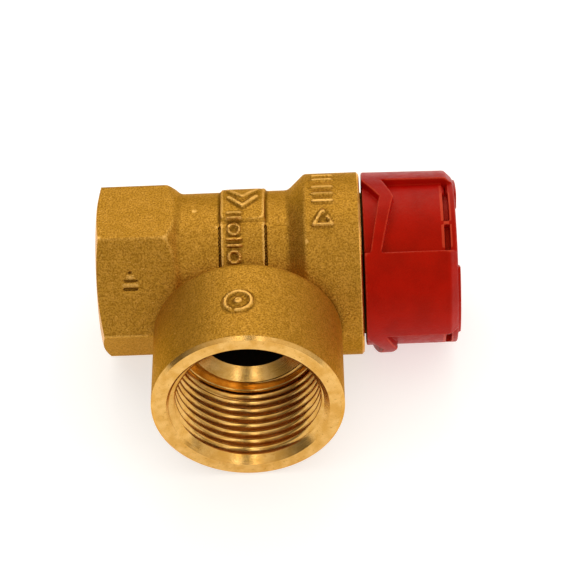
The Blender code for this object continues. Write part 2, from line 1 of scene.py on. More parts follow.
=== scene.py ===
"""The looks of a diaphragm pressure relief valve: cast and machined brass with a red test cap.

Shapes are worked out in millimetres from the crossing of the valve's two axes: +X runs along the
main axis to the cap, -Y out of the side outlet, +Z up. Angles round the main axis are in degrees
from -Y towards +Z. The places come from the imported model.
"""
import functools
import json
import math

import bmesh
import bpy
import numpy as np
from mathutils import Matrix, Vector


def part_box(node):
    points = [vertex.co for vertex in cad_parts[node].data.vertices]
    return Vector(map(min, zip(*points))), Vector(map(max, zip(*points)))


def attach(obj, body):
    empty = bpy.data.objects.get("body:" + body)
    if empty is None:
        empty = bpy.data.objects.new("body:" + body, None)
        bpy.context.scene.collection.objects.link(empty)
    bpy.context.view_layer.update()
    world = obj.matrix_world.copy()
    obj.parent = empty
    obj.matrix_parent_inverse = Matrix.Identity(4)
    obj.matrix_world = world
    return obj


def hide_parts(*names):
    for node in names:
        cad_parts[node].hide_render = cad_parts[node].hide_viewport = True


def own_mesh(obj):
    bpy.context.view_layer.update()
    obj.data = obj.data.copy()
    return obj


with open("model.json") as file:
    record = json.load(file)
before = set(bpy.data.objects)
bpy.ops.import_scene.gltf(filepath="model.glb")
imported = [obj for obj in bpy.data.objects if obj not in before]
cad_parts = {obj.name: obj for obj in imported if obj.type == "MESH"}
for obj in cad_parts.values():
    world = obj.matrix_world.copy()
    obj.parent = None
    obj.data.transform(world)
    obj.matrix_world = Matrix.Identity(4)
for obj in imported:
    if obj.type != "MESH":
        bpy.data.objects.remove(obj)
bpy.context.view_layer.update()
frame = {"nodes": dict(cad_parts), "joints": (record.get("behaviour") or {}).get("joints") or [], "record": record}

MM = 0.001

# Where the axes cross and how far the stem lifts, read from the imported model
JOINTS = {joint["name"]: joint for joint in frame["joints"]}
MOUNTS = {mount["name"]: mount for mount in frame["record"]["mounts"]}
CROSSING = Vector((MOUNTS["outlet_face"]["pos_m"][0], *JOINTS["cap_turn"]["pos_m"][1:]))


def corners(node):
    """The lowest and highest corners of a CAD node, from the crossing of the axes."""
    return [(corner - CROSSING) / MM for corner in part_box(node)]


BODY_LOW, BODY_HIGH = corners("valve_body")
CAP_LOW, CAP_HIGH = corners("cap")

# Body
INLET_LENGTH = -BODY_LOW.x
COLLAR_END = BODY_HIGH.x
OUTLET_LENGTH = -BODY_LOW.y
HEX_CORNER = BODY_HIGH.y
BOSS_R = BODY_HIGH.z
HEX_HALF_HEIGHT = 13.8
HEX_HALF_FLAT = 6.9
HEX_FACE_R = 13.3
HEX_CHAMFER_SLOPE = 0.29
HEX_ROOT = -11.3  # where the hexagon's taper meets the neck
HEX_TAPER_SLOPE = 1.1
NECK_R = 13.2
NECK_END = 7.4
COLLAR_START = 10.3
COLLAR_R = 15.9
COLLAR_CHAMFER = 0.4
NECK_OVERLAP = 4.0  # how far the neck runs on inside the hexagon
BOSS_CHAMFER = 0.55
BOSS_BACK = 17.0
BOSS_ROOT = 13.0
BOSS_ROOT_R = 12.0
BOSS_FILLET = 0.7
PAD_MIDDLE = -0.3  # raised label pad across the neck
PAD_HALF_WIDTH = 3.9
PAD_RISE = 0.45
PAD_BLOCK_FROM = 77.0  # its upper part stands higher
PAD_BLOCK_TO = 122.0
PAD_BLOCK_RISE = 0.7
PAD_FROM = 0.0
PAD_TO = 148.0
PAD_GROOVE_FROM = 36.0  # grooves along its sides
PAD_GROOVE_TO = 74.0
PAD_GROOVE_WIDTH = 0.38

# Marks on the body, placed by millimetres round or along its surface
RELIEF = 0.42  # height of the cast marks
PAD_RINGS = (11.4, 16.2)
PAD_RING_X = -1.5
PAD_RING_R = 0.95
PAD_BARS = (13.3, 14.4, 18.2, 19.3)
PAD_BAR_ENDS = (-2.6, -0.3)
PAD_CHEVRONS = (20.9, 23.5)
CHEVRON_SIZE = 2.4
COLLAR_MARKS_X = 13.4
COLLAR_MARKS_HALF = 1.6
COLLAR_TRIANGLE = (18.6, 21.4)  # its base and its tip
COLLAR_BARS = (23.4, 25.2, 27.0, 29.6, 31.4)
BOSS_MARK_X = -0.8
BOSS_MARK_OUT = 26.0
BOSS_RING_R = 2.2
BOSS_DOT_R = 0.8
STAMP_X = -19.6
STAMP_DEPTH = 0.35
STAMP_BARS = (8.2, 9.6)
STAMP_BAR_HALF = 1.0
STAMP_DOT = 11.0
STAMP_DOT_R = 0.3

# Pipe threads
PITCH = 1.814
INLET_CREST_R = 9.32
INLET_ROOT_R = 10.48
INLET_MOUTH_R = 10.6
INLET_THREAD_LENGTH = 12.0
OUTLET_CREST_R = 12.06
OUTLET_ROOT_R = 13.22
OUTLET_MOUTH_R = 13.5
OUTLET_THREAD_LENGTH = 16.3
OUTLET_SHOULDER = 2.5
OUTLET_HOLE_R = 8.7
OUTLET_HOLE_END = 4.0
INLET_RUNOUT = 0.6  # how far the taps stop short of the threads' ends
OUTLET_RUNOUT = 0.9
GROOVE_LENGTH = 0.5  # plain groove at the end of the outlet's thread
GROOVE_STEP = 0.15
GROOVE_LIP = ((1.1, 0.75), (1.15, 0.9))  # from the groove to the shoulder: how far in, back
THREAD_FADE = 0.6  # turns over which the tap's cut fades out
TAP_INSET = 0.04  # how far the tap's core lies inside the crests
THREAD_STEPS = 10
THREAD_ROWS = [(k / THREAD_STEPS, 0.5 - 0.5 * math.cos(2 * math.pi * k / THREAD_STEPS))
               for k in range(THREAD_STEPS)]  # one tooth, rounded at its root and its crest

# Seat and chamber
SEAT_R = 6.0
SEAT_LIP_R = 7.0
SEAT_X = -7.5
SEAT_DEPTH = 1.8
SEAT_BEVEL = 0.2
BORE_BEVEL = 0.3
PASSAGE_CONE = 1.4
CHAMBER_R = 10.4
CLAMP_X = 11.5
COLLAR_BORE_R = 13.6

# Cap
CAP_START = CAP_LOW.x
CAP_END = CAP_HIGH.x  # raised sectors on the end
CAP_R = CAP_HIGH.z  # at the open rim
CAP_SHELF = 36.0  # end face
CAP_EDGE = 34.6  # where the side meets the end chamfer
CAP_EDGE_R = 15.6
CAP_END_R = 14.2
CAP_BORE_R = 12.7
CAP_FLOOR = 30.7
CAP_WEB = 1.7
CAP_HOLE_R = 1.5
CAP_WELL_R = 9.2
POCKET_R = 14.35  # floor of the finger pockets
POCKET_FROM = 48.0
POCKET_TURN = 59.0
POCKET_GROOVE = (33.9, 34.8)  # deeper groove along the pocket's end
POCKET_GROOVE_DEPTH = 1.3
BRIDGE = 68.0  # tiny bridge across that groove
BRIDGE_HALF = 0.35
RIB_ANGLES = (POCKET_FROM, 88.0, POCKET_FROM + POCKET_TURN)
RIB_NEAR = (21.2, 23.1, 20.1)  # its edge towards the rim at those angles
RIB_FAR = (23.1, 25.5, 23.6)  # its other edge
RIB_LEAN = 0.85  # how much nearer its leaning sides are than along the axis
SECTOR_MIDDLE = 7.0
SECTOR_TURN = 60.0
SECTOR_INNER_R = 10.4
SECTOR_INSET = 0.3
REPEAT = 120.0  # pockets, sectors and ramps all come three times

# Inner pieces
GAP = 0.3  # clearance between pieces that touch
HOLDER_THICK = 2.0
FLANGE_R = 6.8
FLANGE_THICK = 1.4
STEM_R = 3.8
PLATE_THICK = 1.0
SPIGOT_R = 6.4
SPINDLE_BORE_R = 1.5
NUT_HOLE_R = 4.2
SOCKET_R = 6.9
SOCKET_DEPTH = 1.6
SLIP_HOLE_R = 9.9
COVER_RIM = 1.2
COVER_DISH = 0.25
RUBBER_THICK = 1.2
DISH_R = 8.45  # the diaphragm's flat middle ends here
CLAMP_R = 10.1  # and its clamped rim starts here
BEND_STEPS = 8
WIRE_R = 0.9
WIRE_STEPS = 16
SPRING_STEPS = 48  # points in each turn of the wire
SPRING_TURNS = 4.75
SPRING_END_TURNS = 0.75  # closed turns at each end
SPRING_END_PITCH = 1.9
HOLE_R = 2.8  # through the pieces that the spindle carries
SCREW_HOLE_R = 1.7
DISC_SCREW_SHANK_R = 1.4
DISC_SCREW_HEAD = 1.6
CAP_SCREW_SHANK_R = 1.2
CAP_SCREW_HEAD = 1.4
SLOT_WIDTH = 0.8
SLOT_DEPTH = 0.7
NUT_CHAMFER = 0.5  # off the lock nut's corners, and along them
NUT_CHAMFER_LENGTH = 0.35
NUT_CHAMFER_PAST = 0.1
EASE = 0.12  # bevel on the edges of the small turned pieces

# Wear, and painted shade in the hollows: how far round a point its shape is felt, and how strongly they show
BODY_WEAR_AND_SHADE = (0.7, 1.2)
CAP_WEAR = (0.45, 1.0)
SKIN = 0.05  # points this close to the cast or moulded surface are on it
NICKS = ((-8.6, 0.2, 13.2, 0.45), (-4.8, -3.6, 12.7, 0.25), (10.6, -8.8, 13.2, 0.3),
         (-24.6, -6.4, 13.6, 0.35), (9.0, -14.2, 7.0, 0.3),
         (-11.4, -28.0, 11.2, 0.25))  # small bright spots: where, and how large

CELL = 0.34  # spacing of the grid that the casting is traced on
CAP_CELL = 0.22
WELD = 1e-6  # metres, points closer than this are one
TURN_STEPS = 144  # facets round a machined surface
FINE_STEPS = 96  # and round the small turned pieces
SHARP = 32.0  # degrees, edges that turn further than this stay sharp
STOCK = 0.6  # metal left on the casting, which machining takes off
PAST = 1.5  # how far a tool runs past the face that it cuts
CLEAR = 2.0  # and how far a facing tool reaches round the metal


# --- Fields: the distance of each point of a grid from a surface, negative inside ---

def smooth_min(a, b, k):
    """Joins two shapes with a fillet."""
    h = np.maximum(k - np.abs(a - b), 0.0) / k
    return np.minimum(a, b) - h * h * k * 0.25


def smooth_max(a, b, k):
    """The overlap of two shapes with its edge rounded."""
    return -smooth_min(-a, -b, k)


def stroke(u, v, start, end, half_width):
    """A straight stroke with round ends, drawn in a plane."""
    du, dv = end[0] - start[0], end[1] - start[1]
    along = ((u - start[0]) * du + (v - start[1]) * dv) / (du * du + dv * dv)
    along = np.clip(along, 0.0, 1.0)
    return np.hypot(u - start[0] - along * du, v - start[1] - along * dv) - half_width


def hoop(u, v, radius, half_width):
    """A circle drawn in a plane."""
    return np.abs(np.hypot(u, v) - radius) - half_width


def raised(skin, drawing, height):
    """A skin with a drawing standing up from it, with sloping sides."""
    return smooth_min(skin, smooth_max(skin - height, drawing + 0.35 * skin, 0.18), 0.22)


def union(shapes):
    """Several shapes at once."""
    return functools.reduce(np.minimum, shapes)


def angle_round(y, z):
    """Degrees round the main axis, from the outlet's side over the top."""
    return np.degrees(np.arctan2(z, -y))


def folded(angle, middle):
    """Degrees from the middle of the nearest of the features that come three times."""
    return np.mod(angle - middle + REPEAT / 2, REPEAT) - REPEAT / 2


def surface_net(field, low, high, cell):
    """Traces a field's zero surface as a closed mesh of four-sided faces."""
    axes = [np.arange(a - 2 * cell, b + 3 * cell, cell) for a, b in zip(low, high)]
    x, y, z = np.meshgrid(*axes, indexing="ij", sparse=True)
    values = np.broadcast_to(field(x, y, z), [len(axis) for axis in axes])
    inside = values < 0
    steps = [(i, j, k) for i in (0, 1) for j in (0, 1) for k in (0, 1)]
    shape = [n - 1 for n in values.shape]
    count = sum(inside[tuple(slice(o, o + n) for o, n in zip(step, shape))].astype(np.int8)
                for step in steps)
    cells = np.argwhere((count > 0) & (count < 8))
    at = {step: values[tuple((cells + step).T)] for step in steps}
    total = np.zeros((len(cells), 3))
    hits = np.zeros(len(cells))
    for step in steps:
        for axis in range(3):
            if step[axis]:
                continue
            end = tuple(o + (i == axis) for i, o in enumerate(step))
            crosses = (at[step] < 0) != (at[end] < 0)
            share = np.where(crosses, at[step] / np.where(crosses, at[step] - at[end], 1), 0)
            point = np.repeat(np.array([step], dtype=float), len(cells), axis=0)
            point[:, axis] += share
            total += point * crosses[:, None]
            hits += crosses
    verts = np.array([axis[0] for axis in axes]) + (cells + total / hits[:, None]) * cell
    index = np.full(shape, -1, dtype=np.int64)
    index[tuple(cells.T)] = np.arange(len(cells))
    return settled(field, verts, cell), net_faces(inside, index)


def net_faces(inside, index):
    """One face across each grid edge that passes through the surface."""
    faces = []
    for axis in range(3):
        first = [slice(None)] * 3
        second = [slice(None)] * 3
        first[axis] = slice(0, -1)
        second[axis] = slice(1, None)
        edges = np.argwhere(inside[tuple(first)] != inside[tuple(second)])
        u = np.zeros(3, dtype=int)
        v = np.zeros(3, dtype=int)
        u[(axis + 1) % 3] = 1
        v[(axis + 2) % 3] = 1
        quad = np.stack([index[tuple((edges - shift).T)] for shift in (u + v, v, 0 * u, u)], 1)
        leaves = inside[tuple(edges.T)]
        faces.append(np.where(leaves[:, None], quad, quad[:, ::-1]))
    return np.concatenate(faces)


def settled(field, points, cell, step=0.02):
    """Moves points onto a field's zero surface, never further than half a cell at once."""
    for _ in range(3):
        slopes = []
        for axis in range(3):
            shift = np.zeros(3)
            shift[axis] = step
            slopes.append((field(*(points + shift).T) - field(*(points - shift).T)) / (2 * step))
        slope = np.stack(slopes, 1)
        move = slope * (field(*points.T) / np.maximum((slope ** 2).sum(1), 0.04))[:, None]
        size = np.linalg.norm(move, axis=1)
        points = points - move * np.minimum(1.0, 0.5 * cell / np.maximum(size, 1e-9))[:, None]
    return points


# --- Mesh helpers ---

def mesh_object(name, verts, faces, material=None):
    mesh = bpy.data.meshes.new(name)
    places = np.asarray(verts) * MM + np.array(CROSSING)
    mesh.from_pydata(places.tolist(), [], [list(map(int, face)) for face in faces])
    if material:
        mesh.materials.append(material)
    obj = bpy.data.objects.new(name, mesh)
    bpy.context.scene.collection.objects.link(obj)
    face_outwards(mesh)
    return obj


def face_outwards(mesh):
    bm = bmesh.new()
    bm.from_mesh(mesh)
    bmesh.ops.recalc_face_normals(bm, faces=bm.faces)
    bm.to_mesh(mesh)
    bm.free()


def main_point(radius, turn, x):
    """A point round the main axis."""
    return (x, -radius * math.cos(turn), radius * math.sin(turn))


def outlet_point(radius, turn, out):
    """A point round the outlet axis, out millimetres from the main axis."""
    return (radius * math.sin(turn), -out, radius * math.cos(turn))


def revolved(name, profile, material=None, point=main_point, steps=TURN_STEPS):
    """A closed body turned from (radius, place) points, given in order round the outline.

    A profile that starts and ends on the axis is solid, and any other one is a ring.
    """
    solid = profile[0][0] == 0
    outline = profile[1:-1] if solid else profile
    verts = [point(r, 2 * math.pi * i / steps, x) for r, x in outline for i in range(steps)]
    rows = len(outline)
    faces = []
    for j in range(rows - 1 if solid else rows):
        here, after = j * steps, (j + 1) % rows * steps
        for i in range(steps):
            k = (i + 1) % steps
            faces.append((here + i, here + k, after + k, after + i))
    if solid:
        faces.append(range(steps))
        faces.append(range((rows - 1) * steps, rows * steps))
    return mesh_object(name, verts, faces, material)


def eased(profile, size):
    """The outline with each corner replaced by a small bevel."""
    result = []
    count = len(profile)
    for i, (r, x) in enumerate(profile):
        if r == 0:
            result.append((r, x))
            continue
        for other in (profile[i - 1], profile[(i + 1) % count]):
            dr, dx = other[0] - r, other[1] - x
            length = math.hypot(dr, dx)
            share = min(size, 0.3 * length) / length
            result.append((r + dr * share, x + dx * share))
    return result


def smooth(obj):
    obj.data.shade_smooth()
    obj.data.set_sharp_from_angle(angle=math.radians(SHARP))


def cut(obj, tool, operation='DIFFERENCE'):
    """Machines a body with a tool, whose material the cut faces take, and drops the tool."""
    modifier = obj.modifiers.new("cut", 'BOOLEAN')
    modifier.object = tool
    modifier.operation = operation
    modifier.solver = 'MANIFOLD'
    modifier.material_mode = 'TRANSFER'
    bpy.context.view_layer.update()
    depsgraph = bpy.context.evaluated_depsgraph_get()
    result = bpy.data.meshes.new_from_object(obj.evaluated_get(depsgraph))
    obj.modifiers.remove(modifier)
    obj.data = result
    bpy.data.objects.remove(tool, do_unlink=True)


def clean(obj):
    """Clears the slivers and loose specks that machining leaves."""
    bm = bmesh.new()
    bm.from_mesh(obj.data)
    bmesh.ops.remove_doubles(bm, verts=bm.verts, dist=WELD)
    bmesh.ops.dissolve_degenerate(bm, edges=bm.edges, dist=WELD)
    mend(bm)
    islands = sorted(islands_of(bm), key=len)
    specks = [face for island in islands[:-1] for face in island]
    bmesh.ops.delete(bm, geom=specks, context='FACES')
    bm.to_mesh(obj.data)
    bm.free()


def mend(bm):
    """Cuts out the few places where the skin touches itself, and closes the holes left."""
    bad = {vert for edge in bm.edges if len(edge.link_faces) != 2 for vert in edge.verts}
    bad |= {edge.other_vert(vert) for vert in bad for edge in vert.link_edges}
    bmesh.ops.delete(bm, geom=list(bad), context='VERTS')
    rims = [edge for edge in bm.edges if edge.is_boundary]
    bmesh.ops.holes_fill(bm, edges=rims, sides=0)


def islands_of(bm):
    """The faces of each connected part of a mesh."""
    islands = []
    seen = set()
    for first in bm.faces:
        if first in seen:
            continue
        seen.add(first)
        island = [first]
        for face in island:
            for edge in face.edges:
                for other in edge.link_faces:
                    if other not in seen:
                        seen.add(other)
                        island.append(other)
        islands.append(island)
    return islands


def thread_tap(name, crest_r, root_r, start, end, point, material):
    """A tap: a rod whose rows of points follow the helix, deep from start and fading at end."""
    core = crest_r - TAP_INSET
    steps = TURN_STEPS
    per_turn = len(THREAD_ROWS)
    rows = (math.ceil((end - start) / PITCH) + 1) * per_turn
    verts = []
    for j in range(rows):
        share, height = THREAD_ROWS[j % per_turn]
        for i in range(steps):
            x = start + (j // per_turn + share - 1 + i / steps) * PITCH
            fade = min(1.0, max(0.0, (end - x) / (THREAD_FADE * PITCH)))
            verts.append(point(core + (root_r - core) * height * fade,
                               2 * math.pi * i / steps, x))
    faces = []
    for j in range(rows - 1):
        for i in range(steps - 1):
            a = j * steps + i
            faces.append((a, a + 1, a + steps + 1, a + steps))
    for j in range(rows - per_turn - 1):
        a = j * steps + steps - 1
        b = (j + per_turn) * steps
        faces.append((a, b, b + steps, a + steps))
    last = rows - 1
    faces.append([*range(steps)] + [j * steps for j in range(per_turn, 0, -1)])
    faces.append([last * steps + i for i in range(steps)]
                 + [(last - k) * steps + steps - 1 for k in range(1, per_turn + 1)])
    return mesh_object(name, verts, faces, material)


# --- Materials ---

class Nodes:
    """Builds the nodes of a material or a world with short calls."""

    def __init__(self, owner, shader="Principled BSDF"):
        self.owner = owner
        self.owner.use_nodes = True
        self.tree = owner.node_tree
        self.shader = self.tree.nodes[shader]

    def add(self, kind, **settings):
        node = self.tree.nodes.new(kind)
        for key, value in settings.items():
            setattr(node, key, value)
        return node

    def put(self, socket, value):
        """Links a socket to another node's, or sets it to a constant."""
        if isinstance(value, bpy.types.NodeSocket):
            self.tree.links.new(value, socket)
        else:
            socket.default_value = value

    def coordinates(self, kind):
        return self.add('ShaderNodeTexCoord').outputs[kind]

    def parts(self, vector):
        """The x, y and z of a vector."""
        node = self.add('ShaderNodeSeparateXYZ')
        self.put(node.inputs[0], vector)
        return node.outputs

    def place(self, scale=(1, 1, 1)):
        """Object coordinates in millimetres from the crossing of the axes."""
        mapping = self.add('ShaderNodeMapping', vector_type='POINT')
        self.put(mapping.inputs["Vector"], self.coordinates("Object"))
        mapping.inputs["Scale"].default_value = [s / MM for s in scale]
        mapping.inputs["Location"].default_value = [-c * s / MM for c, s in zip(CROSSING, scale)]
        return mapping.outputs["Vector"]

    def noise(self, vector, size, detail=2.0, rough=0.5):
        """Noise whose features are size millimetres across."""
        node = self.add('ShaderNodeTexNoise')
        self.put(node.inputs["Vector"], vector)
        node.inputs["Scale"].default_value = 1.0 / size
        node.inputs["Detail"].default_value = detail
        node.inputs["Roughness"].default_value = rough
        return node.outputs["Fac"]

    def ramp(self, value, low, high, to_low=0.0, to_high=1.0):
        node = self.add('ShaderNodeMapRange', interpolation_type='SMOOTHSTEP')
        self.put(node.inputs["Value"], value)
        for name, number in (("From Min", low), ("From Max", high),
                             ("To Min", to_low), ("To Max", to_high)):
            node.inputs[name].default_value = number
        return node.outputs["Result"]

    def math(self, operation, a, b=0.0):
        node = self.add('ShaderNodeMath', operation=operation)
        self.put(node.inputs[0], a)
        self.put(node.inputs[1], b)
        return node.outputs[0]

    def mix(self, factor, a, b):
        """Mixes two colours, given as sockets or as (red, green, blue)."""
        node = self.add('ShaderNodeMix', data_type='RGBA')
        self.put(node.inputs["Factor"], factor)
        for socket, color in ((node.inputs[6], a), (node.inputs[7], b)):
            self.put(socket, (*color, 1) if isinstance(color, tuple) else color)
        return node.outputs[2]

    def attribute(self, name):
        return self.add('ShaderNodeAttribute', attribute_name=name).outputs["Fac"]

    def bump(self, height, depth, normal=None):
        """Bumps whose height runs over depth millimetres."""
        node = self.add('ShaderNodeBump')
        self.put(node.inputs["Height"], height)
        node.inputs["Distance"].default_value = depth * MM
        if normal:
            self.put(node.inputs["Normal"], normal)
        return node.outputs["Normal"]

    def finish(self, color, roughness, metallic=0.0, normal=None, **others):
        values = {"Base Color": (*color, 1) if isinstance(color, tuple) else color,
                  "Roughness": roughness, "Metallic": metallic, **others}
        for name, value in values.items():
            self.put(self.shader.inputs[name], value)
        if normal:
            self.put(self.shader.inputs["Normal"], normal)
        return self.owner


def material_nodes(name):
    return Nodes(bpy.data.materials.new(name))


def mottled(name, size, tones, roughness, depth, metallic=0.0, scale=(1, 1, 1), **others):
    """A plain material whose tone, roughness and bumps all follow one noise."""
    n = material_nodes(name)
    grain = n.noise(n.place(scale), size, 3.0)
    rough = n.ramp(grain, 0.3, 0.7, *roughness)
    return n.finish(n.mix(grain, *tones), rough, metallic, n.bump(grain, depth), **others)


GOLDEN_EDGE = {"Specular Tint": (1.0, 0.74, 0.42, 1)}  # brass stays golden seen edge-on


def cast_brass():
    """Shot-blasted casting: a fine grain, darker in its pits, bright where worn, with painted shade in its
    hollows.
    """
    n = material_nodes("cast_brass")
    place = n.place()
    grain = n.noise(place, 0.30, 2.0, 0.6)
    patches = n.noise(place, 1.6, 3.0, 0.55)
    specks = n.ramp(n.noise(place, 0.24, 1.0), 0.64, 0.76)
    wear = n.attribute("wear")
    tone = n.mix(n.ramp(patches, 0.35, 0.7), (0.48, 0.240, 0.028), (0.56, 0.285, 0.040))
    tone = n.mix(n.ramp(grain, 0.36, 0.60, 0.7, 0.0), tone, (0.26, 0.118, 0.008))
    tone = n.mix(n.math('MULTIPLY', specks, 0.45), tone, (0.90, 0.52, 0.13))
    worn = n.ramp(n.math('ADD', wear, n.math('MULTIPLY', grain, 0.5)), 0.6, 1.3, 0.0, 0.8)
    tone = n.mix(worn, tone, (0.80, 0.46, 0.12))
    # painted shade: the casting darkens towards near black in its hollows and creases
    tone = n.mix(n.ramp(n.attribute("hollow_shade"), 0.1, 0.9, 0.0, 0.75), tone, (0.13, 0.055, 0.004))
    rough = n.math('SUBTRACT', n.ramp(grain, 0.3, 0.7, 0.56, 0.42),
                   n.math('MULTIPLY', worn, 0.14))
    normal = n.bump(n.noise(place, 1.0, 2.0), 0.05)
    normal = n.bump(grain, 0.11, normal)
    return n.finish(tone, rough, 1.0, normal, **GOLDEN_EDGE)


def turned_brass(name, along, across):
    """Machined brass with fine tool lines that run round the axis named by along."""
    n = material_nodes(name)
    place = n.place()
    parts = n.parts(place)
    squares = [n.math('MULTIPLY', parts[axis], parts[axis]) for axis in across]
    radius = n.math('SQRT', n.math('ADD', *squares))
    lathe = n.add('ShaderNodeCombineXYZ')
    n.put(lathe.inputs[0], radius)
    n.put(lathe.inputs[1], parts[along])
    lines = n.noise(lathe.outputs[0], 0.11, 2.0)
    patches = n.noise(place, 1.8, 3.0)
    tone = n.mix(n.ramp(patches, 0.3, 0.75), (0.66, 0.35, 0.075), (0.80, 0.48, 0.15))
    tone = n.mix(n.ramp(n.noise(place, 0.5, 3.0), 0.60, 0.78, 0.0, 0.6), tone,
                 (0.45, 0.19, 0.02))
    rough = n.ramp(lines, 0.3, 0.7, 0.16, 0.27)
    return n.finish(tone, rough, 1.0, n.bump(lines, 0.006), **GOLDEN_EDGE)


def shade_black_casting():
    """The unmachined inside, made almost black and unreflective as painted shade."""
    tones = ((0.004, 0.003, 0.002), (0.012, 0.008, 0.004))
    return mottled("shade_black_casting", 1.5, tones, (0.7, 0.9), 0.05,
                   **{"Specular IOR Level": 0.1})


def bonnet_shade_brass():
    """The bonnet's brass, darkened as painted shade in the gap between the collar and the cap."""
    tones = ((0.030, 0.017, 0.006), (0.075, 0.042, 0.014))
    return mottled("bonnet_shade_brass", 1.2, tones, (0.45, 0.65), 0.02, 1.0, **GOLDEN_EDGE)


def red_plastic():
    """Moulded cap: satin, with a fine spark-eroded grain and rubbed edges."""
    n = material_nodes("red_plastic")
    place = n.place()
    grain = n.noise(place, 0.30, 2.0, 0.6)
    patches = n.noise(place, 4.0, 3.0)
    wear = n.attribute("wear")
    tone = n.mix(n.ramp(patches, 0.3, 0.7), (0.345, 0.0009, 0.0004), (0.415, 0.0018, 0.0005))
    worn = n.ramp(n.math('ADD', wear, n.math('MULTIPLY', grain, 0.5)), 0.55, 1.0, 0.0, 0.6)
    tone = n.mix(worn, tone, (0.66, 0.07, 0.03))
    rough = n.ramp(n.noise(place, 1.1, 3.0), 0.3, 0.7, 0.36, 0.48)
    normal = n.bump(grain, 0.045)
    return n.finish(tone, rough, 0.0, normal, **{"Specular IOR Level": 0.22,
                                                 "Specular Tint": (1.0, 0.42, 0.14, 1)})


def steel():
    """Zinc plated, with a brushed grain that is drawn out across the main axis."""
    tones = ((0.42, 0.42, 0.43), (0.66, 0.66, 0.67))
    return mottled("steel", 0.12, tones, (0.24, 0.4), 0.008, 1.0, (1, 0.25, 0.25))


def rubber():
    tones = ((0.010, 0.010, 0.011), (0.032, 0.031, 0.030))
    return mottled("rubber", 0.25, tones, (0.62, 0.8), 0.02)


def white_plastic():
    tones = ((0.70, 0.69, 0.64), (0.80, 0.79, 0.75))
    return mottled("white_plastic", 0.4, tones, (0.4, 0.52), 0.01)


def floor_white():
    """A white sheet, lit from below as a light table is, and less so far away."""
    n = material_nodes("floor_white")
    place = n.place()
    tone = n.mix(n.noise(place, 60.0, 2.0), (0.54, 0.54, 0.54), (0.57, 0.57, 0.57))
    away = n.add('ShaderNodeVectorMath', operation='LENGTH')
    n.put(away.inputs[0], place)
    glow = n.ramp(away.outputs["Value"], 900.0, 3000.0, 0.62, 0.35)
    return n.finish(tone, 0.85, **{"Emission Color": (1.0, 0.99, 0.97, 1.0),
                                   "Emission Strength": glow})


# --- Valve body ---

def hexagon_field(y, z):
    """The hexagonal bar: flats above and below, and two pairs of sloping sides."""
    run = HEX_CORNER - HEX_HALF_FLAT
    length = math.hypot(HEX_HALF_HEIGHT, run)
    across, up = HEX_HALF_HEIGHT / length, run / length
    side = (np.abs(y) - HEX_CORNER) * across
    sides = smooth_max(side + z * up, side - z * up, 0.45)
    return smooth_max(sides, np.abs(z) - HEX_HALF_HEIGHT, 0.4)


def tapered(radius, place, start, start_r, end, end_r):
    """A cone about an axis, from one radius to another."""
    slope = (end_r - start_r) / (end - start)
    return (radius - start_r - (place - start) * slope) / math.hypot(1, slope)


def neck_field(x, radius):
    cone = tapered(radius, x, NECK_END, NECK_R, COLLAR_START, COLLAR_R)
    collar = smooth_max(radius - COLLAR_R, cone, 0.3)
    neck = smooth_min(radius - NECK_R, collar, 0.4)
    return np.maximum(np.maximum(neck, x - COLLAR_END - STOCK), HEX_ROOT - NECK_OVERLAP - x)


def inlet_field(x, y, z, radius):
    taper = tapered(radius, x, HEX_ROOT, NECK_R, HEX_ROOT - 1, NECK_R + HEX_TAPER_SLOPE)
    bar = smooth_max(hexagon_field(y, z), taper, 0.35)
    bar = np.maximum(bar, -INLET_LENGTH - STOCK - x)
    return np.maximum(bar, x - HEX_ROOT - 1)


def boss_field(x, y, z):
    radius = np.hypot(x, z)
    cone = tapered(radius, -y, BOSS_ROOT, BOSS_ROOT_R, BOSS_BACK, BOSS_R)
    side = smooth_max(radius - BOSS_R, cone, 0.5)
    return np.maximum(np.maximum(side, -OUTLET_LENGTH - STOCK - y), y + NECK_R / 2)


def pad_field(x, radius, angle):
    """The raised label pad: a long strip, and a thicker block on top of the neck."""
    side = np.abs(x - PAD_MIDDLE) - PAD_HALF_WIDTH
    slope = 0.25 * (radius - NECK_R)
    middle = (PAD_FROM + PAD_TO) / 2
    strip = np.maximum(side, (np.abs(angle - middle) - PAD_TO + middle) * math.pi / 180 * NECK_R)
    strip = smooth_max(radius - NECK_R - PAD_RISE, strip + slope, 0.2)
    half = (PAD_BLOCK_TO - PAD_BLOCK_FROM) / 2
    arc = (np.abs(angle - PAD_BLOCK_FROM - half) - half) * math.pi / 180 * NECK_R
    block = smooth_max(side, arc, 1.2) + slope
    block = smooth_max(radius - NECK_R - PAD_BLOCK_RISE, block, 0.3)
    return np.minimum(strip, block)


def pad_grooves(x, radius, angle):
    """Narrow grooves where the die parted along the lower part of the pad."""
    u = angle * math.pi / 180 * NECK_R
    first, last = (turn * math.pi / 180 * NECK_R for turn in (PAD_GROOVE_FROM, PAD_GROOVE_TO))
    side = np.abs(x - PAD_MIDDLE) - PAD_HALF_WIDTH
    across = np.abs(side) - PAD_GROOVE_WIDTH / 2
    along = np.maximum(first - u, u - last)
    return np.maximum(np.maximum(across, along), np.abs(radius - NECK_R) - PAD_GROOVE_WIDTH)


def pad_marks(x, angle):
    """Plain marks along the pad: rings and bars, then two chevrons towards the outlet."""
    u = angle * math.pi / 180 * NECK_R
    v = x - PAD_MIDDLE
    first, last = PAD_BAR_ENDS
    size = CHEVRON_SIZE
    rings = [hoop(u - place, v - PAD_RING_X, PAD_RING_R, 0.32) for place in PAD_RINGS]
    bars = [stroke(u, v, (place, first), (place, last), 0.3) for place in PAD_BARS]
    chevrons = [stroke(u, v, (tip, 0), (tip + size, size * side), 0.46)
                for tip in PAD_CHEVRONS for side in (-1, 1)]
    return union(rings + bars + chevrons)


